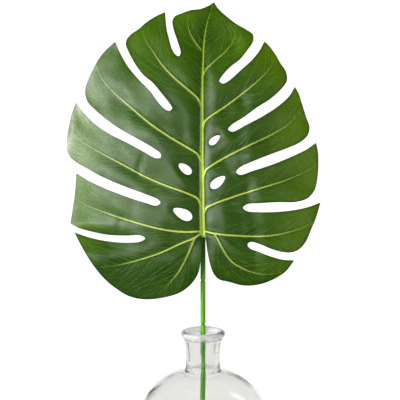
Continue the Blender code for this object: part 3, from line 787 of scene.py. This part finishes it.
def grow_veins(lines):
    """Fine veins that leave each rib aslant and run side by side to the margin or to the next rib's veins."""
    rng = np.random.RandomState(VEIN_SEED)
    loops = edge_loops()
    edge_gap = gap_finder(np.vstack(loops))
    spots, owners, sides = vein_seeds(lines, rng)
    veins = []
    for generation in range(2):
        count = len(spots)
        phase = rng.uniform(0, 2 * math.pi, count)
        pitch = rng.uniform(*VEIN_WIGGLE_LENGTHS, count)
        lean = rng.normal(0, VEIN_LEAN, count) - generation * FORK_LEAN * sides
        limit = rng.randint(VEIN_LONGEST // 2, VEIN_LONGEST, count)
        tracks = [[spot] for spot in spots]
        alive = np.ones(count, bool)
        for step in range(VEIN_LONGEST):
            gaps = np.zeros((count, len(lines)))
            own_heading = np.zeros((count, 2))
            for index, line in enumerate(lines):
                gap, _, heading = nearest_on(line, spots)
                gaps[:, index] = gap
                own_heading[owners == index] = heading[owners == index]
            own = gaps[np.arange(count), owners]
            others = gaps.copy()
            others[np.arange(count), owners] = np.inf
            near, far = np.where(owners == 0, *np.array([MIDRIB_VEIN_ANGLES, LATERAL_VEIN_ANGLES])[:, :, None])
            angle = sides * (far + (near - far) * np.exp(-own / VEIN_TURN_REACH))
            angle = angle + lean + VEIN_WIGGLE * np.sin(2 * math.pi * step * VEIN_STEP / pitch + phase)
            spots = spots + VEIN_STEP * turned(own_heading, angle)
            alive &= (edge_gap(spots) > VEIN_MARGIN) & within_blade(spots, loops) & (step < limit)
            alive &= (others.min(1) > VEIN_MEETING * own) | (step < 1)
            for index in np.flatnonzero(alive):
                tracks[index].append(spots[index])
            if not alive.any():
                break
        grown = [i for i, track in enumerate(tracks) if len(track) > VEIN_SHORTEST]
        veins += [np.array(tracks[i]) for i in grown]
        forked = [i for i in grown if len(tracks[i]) > FORK_LONGER_THAN and rng.rand() < FORK_SHARE]
        cuts = [rng.randint(VEIN_SHORTEST, len(tracks[i]) - 4) for i in forked]
        spots = np.array([tracks[i][cut] for i, cut in zip(forked, cuts)])
        owners, sides = owners[forked], sides[forked]
    return veins, edge_gap


def make_veins(name, veins, lines, edge_gap, back, material):
    """Thin raised ridges along the veins, rooted in the blade's front or back."""
    flat = np.vstack(veins)
    depth = blade_depth(flat, lines) + swell(flat, edge_gap(flat))
    front_rise, back_rise = blade_relief(flat, lines)
    skin = back_rise - depth if back else depth + front_rise
    verts, faces, tone, start, row = [], [], [], 0, 0
    for vein in veins:
        count = len(vein)
        normal = aside_of(unit(np.gradient(vein, axis=0)))
        share = np.linspace(0, 1, count)
        half = VEIN_WIDTH / 2 * (1 - VEIN_TAPER * share)[:, None]
        level = skin[row:row + count]
        row += count
        sections = [(-1, -VEIN_ROOT), (-0.45, VEIN_HEIGHT * 0.8), (0.45, VEIN_HEIGHT * 0.8), (1, -VEIN_ROOT)]
        for side, rise in sections:
            edge = vein + side * half * normal
            height = level + (rise * (1 - 0.5 * share) if rise > 0 else rise)
            verts.append(blade_points(edge, -height if back else height))
        tone += [1 - share] * len(sections)
        size = len(sections)
        rings = [[start + k * count + i for k in range(size)] for i in range(count)]
        faces += tube_faces(rings, 1 if back else -1)
        start += size * count
    obj = new_object(name, in_frame(np.vstack(verts)), faces, [material])
    add_attribute(obj, "tone", np.concatenate(tone))
    return obj


def stem_places():
    """The stem's centre line and radius from its foot to the tang's tip, in millimetres."""
    base, _, up, facing = blade_frame()
    top = np.array([0, stem_line_y(base[2]), base[2]])
    foot_z = BASE_THICKNESS + SEAT_GAP + 0.3
    foot = np.array([0, stem_line_y(foot_z), foot_z])
    length = np.linalg.norm(foot - top)
    down = (foot - top) / length
    waists = list(np.arange(FIRST_WAIST, length - 10, WAIST_PITCH))
    drops = set(np.arange(6, length - 1, 3.0)) | {length, length - 0.5}
    for waist in waists:
        drops |= {waist + shift for shift in np.arange(-WAIST_DETAIL, WAIST_DETAIL + 0.1, 0.35)}
    places, radii = [], []
    for drop in sorted(drops, reverse=True):
        radius = STEM_RADIUS
        for waist in waists:
            away = abs(drop - waist)
            radius -= WAIST_DEPTH * math.exp(-((away / WAIST_HALF) ** 2))
            radius += SHOULDER_SWELL * math.exp(-(((away - SHOULDER_GAP) / SHOULDER_HALF) ** 2))
        if drop > length - 0.3:
            radius -= 0.4
        places.append(top + down * drop)
        radii.append(radius)
    lines = ribs()
    for share in np.linspace(0.12, 1, 18).tolist():
        rise = share * TANG_LENGTH
        radius = STEM_RADIUS + (TANG_TIP_RADIUS - STEM_RADIUS) * share
        across = float(np.interp(rise, lines[0][:, 1], lines[0][:, 0]))
        flat = np.array([(across, rise)])
        _, along, _ = nearest_on(lines[0], flat)
        depth = blade_depth(flat, lines)
        rib = rib_thickness(np.zeros(1), along, MIDRIB_WIDTH, MIDRIB_THICKNESS)
        behind = float(depth[0] - rib[0] * BACK_SHARE) - SEAT_GAP - radius
        places.append(base + np.array([across, 0, 0]) + rise * up + behind * facing)
        radii.append(radius)
    return np.array(places), np.array(radii), top, length, waists


def make_stem(material, sides=32):
    """The stem, with a faint moulding line down each side."""
    places, radii, top, length, waists = stem_places()
    heading = unit(np.gradient(places, axis=0))
    aside = unit(np.array([1.0, 0, 0]) - heading[:, :1] * heading)
    other = np.cross(heading, aside)
    turn = np.arange(sides) * 2 * math.pi / sides
    seam = 1 + MOULD_LINE * np.isclose(turn % math.pi, 0)
    points = (
        places[:, None]
        + (radii[:, None] * np.cos(turn) * seam)[..., None] * aside[:, None]
        + (radii[:, None] * np.sin(turn))[..., None] * other[:, None]
    )
    rings = np.arange(len(places) * sides).reshape(-1, sides).tolist()
    obj = new_object("stem_surface", points.reshape(-1, 3) * MM, tube_faces(rings), [material])
    drop = np.linalg.norm(places - top, axis=1)
    groove = np.zeros(len(places))
    for waist in waists:
        groove = np.maximum(groove, np.exp(-((np.abs(drop - waist) / GROOVE_REACH) ** 2)))
    below = places[:, 2] < top[2]
    add_attribute(obj, "groove", np.repeat(groove, sides))
    add_attribute(obj, "upper", np.repeat(np.where(below, 1 - soft_step(*STEM_SHADE_SPAN, drop), 1.0), sides))
    return obj


def arc(middle, radii, start, end, count):
    """Points on part of an ellipse, at angles measured from straight up, towards the outside."""
    turn = np.radians(np.linspace(start, end, count))
    return [(middle[0] + radii[0] * math.sin(a), middle[1] + radii[1] * math.cos(a)) for a in turn]


def vase_profile():
    """(radius, height) down the vase's outside from the lip's crest, then up its inside."""
    lip_middle = ((LIP_RADIUS + LIP_BORE) / 2, VASE_HEIGHT - LIP_HALF_HEIGHT)
    lip_radii = ((LIP_RADIUS - LIP_BORE) / 2, LIP_HALF_HEIGHT)
    lip = arc(lip_middle, lip_radii, 0, 125, 16)
    shoulder_middle = BODY_RADIUS - SHOULDER_RADIUS
    neck_angle = math.degrees(math.asin((NECK_RADIUS + NECK_FOOT_FLARE - shoulder_middle) / SHOULDER_RADIUS))
    neck_foot = BODY_TOP + SHOULDER_RADIUS * math.cos(math.radians(neck_angle))
    shoulder = arc((shoulder_middle, BODY_TOP), (SHOULDER_RADIUS, SHOULDER_RADIUS), neck_angle + 1.5, 90, 40)
    neck = smooth_line([
        lip[-1],
        (NECK_RADIUS + 2.0, VASE_HEIGHT - LIP_DROP + 1),
        (NECK_RADIUS + 0.9, VASE_HEIGHT - LIP_DROP - 3.5),
        (NECK_RADIUS, VASE_HEIGHT - LIP_DROP - 12),
        (NECK_RADIUS + 0.3, neck_foot + 5),
        (NECK_RADIUS + 0.9, neck_foot + 1.5),
        shoulder[0],
    ], 1.6)[1:-1].tolist()
    heel_middle = (BODY_RADIUS - HEEL_RADIUS, HEEL_RADIUS)
    wall = [(BODY_RADIUS, z) for z in np.linspace(BODY_TOP, HEEL_RADIUS, 16)[1:-1]]
    heel = arc(heel_middle, (HEEL_RADIUS, HEEL_RADIUS), 90, 180, 14)
    foot = [(heel_middle[0] * (1 - share), 0) for share in (0.3, 0.6, 1)]
    outside = [*lip, *neck, *shoulder, *wall, *heel, *foot]

    inner_heel = HEEL_RADIUS - WALL
    inner_middle = (BODY_RADIUS - WALL - inner_heel, BASE_THICKNESS + inner_heel)
    inner = SHOULDER_RADIUS - WALL
    bore_angle = math.degrees(math.asin((NECK_BORE + 2 - shoulder_middle) / inner))
    floor = [(inner_middle[0] * share, BASE_THICKNESS) for share in (0, 0.3, 0.6)]
    inner_wall = [(BODY_RADIUS - WALL, z) for z in np.linspace(inner_middle[1], BODY_TOP, 16)[1:-1]]
    dome = arc((shoulder_middle, BODY_TOP), (inner, inner), 90, bore_angle + 3, 36)
    lip_inside = arc(lip_middle, lip_radii, -90, -8, 12)
    bore = smooth_line([
        dome[-1],
        (NECK_BORE + 0.3, neck_foot + 0.8),
        (NECK_BORE, neck_foot + 8),
        (NECK_BORE, VASE_HEIGHT - LIP_DROP - 10),
        lip_inside[0],
    ], 1.6)[1:-1].tolist()
    heel_inside = arc(inner_middle, (inner_heel, inner_heel), 180, 90, 12)
    within = [*floor, *heel_inside, *inner_wall, *dome, *bore, *lip_inside]
    return outside, within


def make_vase(material, sides=144):
    """The bottle, turned about its axis, with the faint waves of moulded glass inside and out."""
    outside, within = vase_profile()
    profile = [*outside, *within]
    turn = np.arange(sides) * 2 * math.pi / sides
    verts, rings = [], []
    for index, (radius, height) in enumerate(profile):
        if radius < 1e-6:
            rings.append([len(verts)] * sides)
            verts.append((0, 0, height))
            continue
        calm = soft_step(0, 14, VASE_HEIGHT - 8 - height) * soft_step(0, 10, height - BASE_THICKNESS)
        if index < len(outside):
            wave = 0.06 * calm * (np.sin(2 * turn + height / 17) + np.sin(5 * turn - height / 11))
        else:
            wave = 0.07 * calm * (np.sin(3 * turn + height / 9) + np.sin(7 * turn + height / 6.5 + 1))
        rings.append(list(range(len(verts), len(verts) + sides)))
        verts.extend(np.column_stack([(radius + wave) * np.cos(turn), (radius + wave) * np.sin(turn),
                                      np.full(sides, height)]).tolist())
    faces = []
    for low, high in zip(rings, rings[1:] + rings[:1]):
        for k in range(sides):
            nxt = (k + 1) % sides
            face = [low[nxt], low[k], high[k], high[nxt]]
            face = [v for i, v in enumerate(face) if v not in face[:i]]
            if len(face) > 2:
                faces.append(face)
    vase = new_object("vase_surface", np.array(verts) * MM, faces, [material])
    heights = np.array(verts)[:, 2]
    add_attribute(vase, "neck", soft_step(*RIPPLES_LOW, heights) * soft_step(*RIPPLES_HIGH, heights))
    add_attribute(vase, "lip", soft_step(*CLOUD_SPAN, heights))
    return vase


class Nodes:
    """A few short calls for building the nodes of a material or of the world."""

    def __init__(self, owner):
        owner.use_nodes = True
        self.owner = owner
        self.tree = owner.node_tree
        self.shader = self.tree.nodes.get("Principled BSDF")

    def link(self, source, target):
        if isinstance(source, (int, float, tuple)):
            target.default_value = source
        else:
            self.tree.links.new(source, target)

    def node(self, kind, **sockets):
        """A new node, with a value or a link for each of the named inputs."""
        node = self.tree.nodes.new("ShaderNode" + kind)
        for name, source in sockets.items():
            self.link(source, node.inputs[name.replace("_", " ")])
        return node

    def attribute(self, name):
        node = self.node("Attribute")
        node.attribute_name = name
        return node.outputs["Fac"]

    def place(self):
        return self.node("TexCoord").outputs["Object"]

    def noise(self, scale, detail=3.0, roughness=0.5, vector=None):
        vector = vector or self.place()
        node = self.node("TexNoise", Scale=scale, Detail=detail, Roughness=roughness, Vector=vector)
        return node.outputs["Fac"]

    def stretched(self, scale):
        return self.node("Mapping", Scale=scale, Vector=self.place()).outputs["Vector"]

    def ranged(self, value, low, high, to_low, to_high, change="LINEAR"):
        node = self.node("MapRange", Value=value, From_Min=low, From_Max=high, To_Min=to_low, To_Max=to_high)
        node.interpolation_type = change
        return node.outputs["Result"]

    def varied(self, noise, to_low, to_high):
        """From low to high over the values that a noise mostly has."""
        return self.ranged(noise, 0.3, 0.7, to_low, to_high)

    def math(self, operation, first, second=0.0):
        node = self.node("Math")
        node.operation = operation
        self.link(first, node.inputs[0])
        self.link(second, node.inputs[1])
        return node.outputs["Value"]

    def mix(self, factor, first, second):
        """Mix two colours, through the node's colour sockets."""
        node = self.node("Mix")
        node.data_type = "RGBA"
        self.link(factor, node.inputs["Factor"])
        self.link(first, node.inputs[6])
        self.link(second, node.inputs[7])
        return node.outputs[2]

    def bump(self, height, strength, distance):
        node = self.node("Bump", Strength=strength, Distance=distance, Height=height)
        self.link(node.outputs["Normal"], self.shader.inputs["Normal"])

    def surface(self, color, roughness, **sockets):
        self.link(color, self.shader.inputs["Base Color"])
        self.link(roughness, self.shader.inputs["Roughness"])
        for name, value in sockets.items():
            self.link(value, self.shader.inputs[name.replace("_", " ")])
        return self.owner


def material_nodes(name):
    return Nodes(bpy.data.materials.new(name))


def rgb(red, green, blue):
    return (red, green, blue, 1.0)


def grey(value):
    return rgb(value, value, value)


def leaf_material(name, colors, roughness):
    """Waxy leaf green with painted light, lighter and yellower towards the lobes' ends, painted shade in the
    valleys, painted ribs and a dark margin.
    """
    deep, bright, rib, stalk, edge, dim = (rgb(*color) for color in colors)
    n = material_nodes(name)
    patches = n.noise(22, 2.0)
    mottle = n.noise(260, 4.0, 0.6)
    streaks = n.noise(1.0, 3.0, 0.6, n.stretched((90, 60, 420)))
    # Painted light: the colour goes towards the bright green over the crown and the lobes' ends.
    new_rows_and_painted_light = n.math("ADD", n.attribute("new_rows_and_painted_light"), n.varied(patches, -0.16, 0.16))
    color = n.mix(n.ranged(new_rows_and_painted_light, 0.0, 1.0, 0.0, 1.0), deep, bright)
    color = n.mix(n.varied(mottle, 0.0, 0.32), color, dim)
    color = n.mix(n.ranged(streaks, 0.45, 0.75, 0.0, 0.22), color, bright)
    # Painted shade: towards the dim green in the valleys, along the side ribs and over the foot lobes.
    color = n.mix(n.math("MULTIPLY", n.attribute("painted_shade"), 0.55), color, dim)
    color = n.mix(n.math("MULTIPLY", n.attribute("margin"), 0.7), color, edge)
    ribs_color = n.mix(n.attribute("stalk"), rib, stalk)
    rib_color = n.mix(n.ranged(mottle, 0.35, 0.65, 0.0, 0.2), ribs_color, dim)
    color = n.mix(n.attribute("rib"), color, rib_color)
    rough = n.varied(n.noise(120, 3.0), roughness - 0.05, roughness + 0.06)
    n.bump(n.math("ADD", n.noise(700, 3.0, 0.6), n.math("MULTIPLY", streaks, 1.5)), 0.07, 0.0004)
    return n.surface(color, rough, Specular_IOR_Level=n.ranged(n.attribute("gloss"), 0, 1, 0, LEAF_SPECULAR))


def edge_material():
    n = material_nodes("leaf_cut_edge")
    color = n.mix(n.noise(300, 3.0), rgb(0.025, 0.085, 0.012), rgb(0.05, 0.13, 0.02))
    return n.surface(color, n.varied(n.noise(500), 0.45, 0.6))


def vein_material(name, colors):
    near, far = (rgb(*color) for color in colors)
    n = material_nodes(name)
    tone = n.math("ADD", n.attribute("tone"), n.varied(n.noise(150, 3.0), -0.3, 0.3))
    color = n.mix(n.ranged(tone, 0.0, 1.0, 0.0, 1.0), far, near)
    return n.surface(color, n.varied(n.noise(300), 0.45, 0.6))


def stem_material():
    """Bright moulded green, deeper in the waists, with painted shade on the top where the leaf shades it,
    partly the top's own deeper green.
    """
    n = material_nodes("stem_green_plastic")
    drawn = n.noise(1.0, 4.0, 0.6, n.stretched((900, 900, 60)))
    patches = n.noise(60, 2.0)
    color = n.mix(n.varied(patches, 0.0, 1.0), rgb(0.115, 0.41, 0.012), rgb(0.16, 0.48, 0.022))
    color = n.mix(n.ranged(drawn, 0.4, 0.7, 0.0, 0.5), color, rgb(0.07, 0.33, 0.02))
    # Painted shade where the blade shades the stem's top, partly the top section's own deeper green.
    color = n.mix(n.math("MULTIPLY", n.attribute("upper"), 0.8), color, rgb(0.024, 0.17, 0.006))
    color = n.mix(n.math("MULTIPLY", n.attribute("groove"), 0.6), color, rgb(0.03, 0.2, 0.01))
    n.bump(drawn, 0.25, 0.0003)
    return n.surface(color, n.varied(drawn, 0.36, 0.5), Specular_IOR_Level=0.25)


def glass_material():
    """Clear pressed glass with faint waves, rippled in the neck and a little cloudy at the lip."""
    n = material_nodes("clear_bottle_glass")
    waves = n.noise(28, 2.0, 0.4, n.stretched((1.0, 1.0, 0.6)))
    ripples = n.noise(110, 2.0, 0.5)
    tint = n.mix(n.varied(waves, 0.0, 1.0), rgb(0.945, 0.943, 0.932), rgb(0.965, 0.963, 0.952))
    rings = n.math("MULTIPLY", n.noise(1.0, 2.0, 0.5, n.stretched((100, 100, 520))), n.attribute("neck"))
    waves_and_ripples = n.math("ADD", waves, n.math("MULTIPLY", ripples, 0.12))
    n.bump(n.math("ADD", waves_and_ripples, n.math("MULTIPLY", rings, 1.2)), 0.2, 0.0008)
    smear = n.ranged(n.noise(40, 4.0, 0.6), 0.5, 0.8, 0.0, 0.03)
    depth = n.node("VolumeAbsorption", Color=rgb(*GLASS_GREY), Density=GLASS_DENSITY)
    n.link(depth.outputs["Volume"], n.tree.nodes["Material Output"].inputs["Volume"])
    cloud = n.math("MULTIPLY", n.attribute("lip"), n.varied(n.noise(150, 3.0), 0.28, 0.42))
    return n.surface(tint, smear, Transmission_Weight=n.math("SUBTRACT", 1.0, cloud), IOR=1.48)


def area_light(name, place, target, size, power):
    data = bpy.data.lights.new(name, "AREA")
    data.shape = "RECTANGLE"
    data.size, data.size_y = size
    data.energy = power
    return look_at(in_scene(name, data), place, target)


def around(azimuth, distance, height):
    """A place round the object: azimuth 0 is the camera's side, positive to its right."""
    angle = math.radians(azimuth)
    return (distance * math.sin(angle), -distance * math.cos(angle), height)


def make_floor():
    """A wide pale floor, white to the camera and a little less so through the glass, with a painted shadow
    near the vase there.
    """
    reach = 30.0
    corners = [(-reach, -reach, 0), (reach, -reach, 0), (reach, reach, 0), (-reach, reach, 0)]
    n = material_nodes("pale_floor")
    color = n.mix(n.noise(6, 3.0), rgb(0.34, 0.34, 0.338), rgb(0.36, 0.36, 0.358))
    material = n.surface(color, n.varied(n.noise(30), 0.55, 0.7), Emission_Color=grey(1.0))
    floor = new_object("floor", np.array(corners), [[0, 1, 2, 3]], [material])
    rays = n.node("LightPath")
    apart = n.node("VectorMath")
    apart.operation = "LENGTH"
    n.link(n.place(), apart.inputs[0])
    # Painted shadow: through the glass the floor glows less near the vase.
    far = n.ranged(apart.outputs["Value"], *FLOOR_THROUGH_GLASS)
    through_glass = n.math("MULTIPLY", rays.outputs["Is Transmission Ray"], far)
    seen = n.math("MAXIMUM", rays.outputs["Is Camera Ray"], through_glass)
    n.link(n.ranged(seen, *FLOOR_GLOW), n.shader.inputs["Emission Strength"])
    floor.visible_glossy = False


def make_lights():
    """The leaf's lights, with sheens seen only in reflections, and the window in the vase's shoulder."""
    for name, (azimuth, distance, height, size, power) in LIGHTS.items():
        light = area_light(name, around(azimuth, distance, height), LEAF_MIDDLE, size, power)
        if name.endswith("sheen"):
            light.visible_diffuse = light.visible_transmission = False
        if name == "front_fill":
            light.visible_glossy = light.visible_transmission = False
    area_light("right_window", (1.15, 0.45, 1.14), (0.04, 0, 0.12), (0.22, 0.7), 1.1)


def make_flags():
    for name, (x0, x1, low, high, tone) in FLAGS.items():
        corners = [(x0, FLAG_Y, low), (x1, FLAG_Y, low), (x1, FLAG_Y, high), (x0, FLAG_Y, high)]
        n = material_nodes(name)
        material = n.surface(n.mix(n.noise(9), grey(tone), grey(tone * 1.2)), 0.9)
        flag = new_object(name, np.array(corners), [[0, 1, 2, 3]], [material])
        flag.visible_camera = flag.visible_diffuse = flag.visible_shadow = False


def make_world():
    """Surroundings white to the camera, dim in front and high up, and never dark through the glass."""
    n = Nodes(bpy.data.worlds.new("studio"))
    split = n.node("SeparateXYZ", Vector=n.node("TexCoord").outputs["Generated"])
    level = n.math("MULTIPLY", n.ranged(split.outputs["Y"], *WORLD_DEPTH, "SMOOTHSTEP"),
                   n.ranged(split.outputs["Z"], *WORLD_HEIGHT, "SMOOTHSTEP"))
    rays = n.node("LightPath")
    through_glass = n.math("MULTIPLY", rays.outputs["Is Transmission Ray"], WORLD_THROUGH_GLASS)
    seen = n.math("MAXIMUM", n.math("MAXIMUM", level, through_glass), rays.outputs["Is Camera Ray"])
    background = n.tree.nodes["Background"]
    n.link(seen, background.inputs["Strength"])
    background.inputs["Color"].default_value = grey(1.0)
    bpy.context.scene.world = n.owner


def make_camera():
    """The photo's view: 9 degrees down onto the leaf's middle, with the vase cut by the lower edge."""
    distance, focal_pixels, image_pixels = 1.520, 1540.0, 400.0
    elevation = math.radians(9.0)
    target = Vector((-0.003, 0, 0.317))
    data = bpy.data.cameras.new("camera")
    data.sensor_width = 36.0
    data.lens = data.sensor_width * focal_pixels / image_pixels
    data.clip_end = 100
    place = target + distance * Vector((0, -math.cos(elevation), math.sin(elevation)))
    bpy.context.scene.camera = look_at(in_scene("camera", data), place, target)


def main():
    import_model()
    bpy.context.scene.view_settings.view_transform = "Standard"
    make_camera()
    make_floor()
    make_lights()
    make_flags()
    make_world()

    front = leaf_material("leaf_green_front", FRONT_COLORS, FRONT_ROUGHNESS)
    rear = leaf_material("leaf_green_back", REAR_COLORS, REAR_ROUGHNESS)
    lines = ribs()
    blade = make_blade([front, rear, edge_material()])
    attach(blade, "root")
    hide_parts("leaf_blade")
    veins, edge_gap = grow_veins(lines)
    vein_front = vein_material("vein_green_front", FRONT_VEIN_COLORS)
    vein_back = vein_material("vein_green_back", REAR_VEIN_COLORS)
    for name, back, material in (("leaf_veins", False, vein_front), ("leaf_veins_back", True, vein_back)):
        piece = make_veins(name, veins, lines, edge_gap, back, material)
        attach(piece, "root")

    stem = make_stem(stem_material())
    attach(stem, "root")
    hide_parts("leaf_stem")

    vase = make_vase(glass_material())
    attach(vase, "root")
    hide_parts("glass_vase")


main()
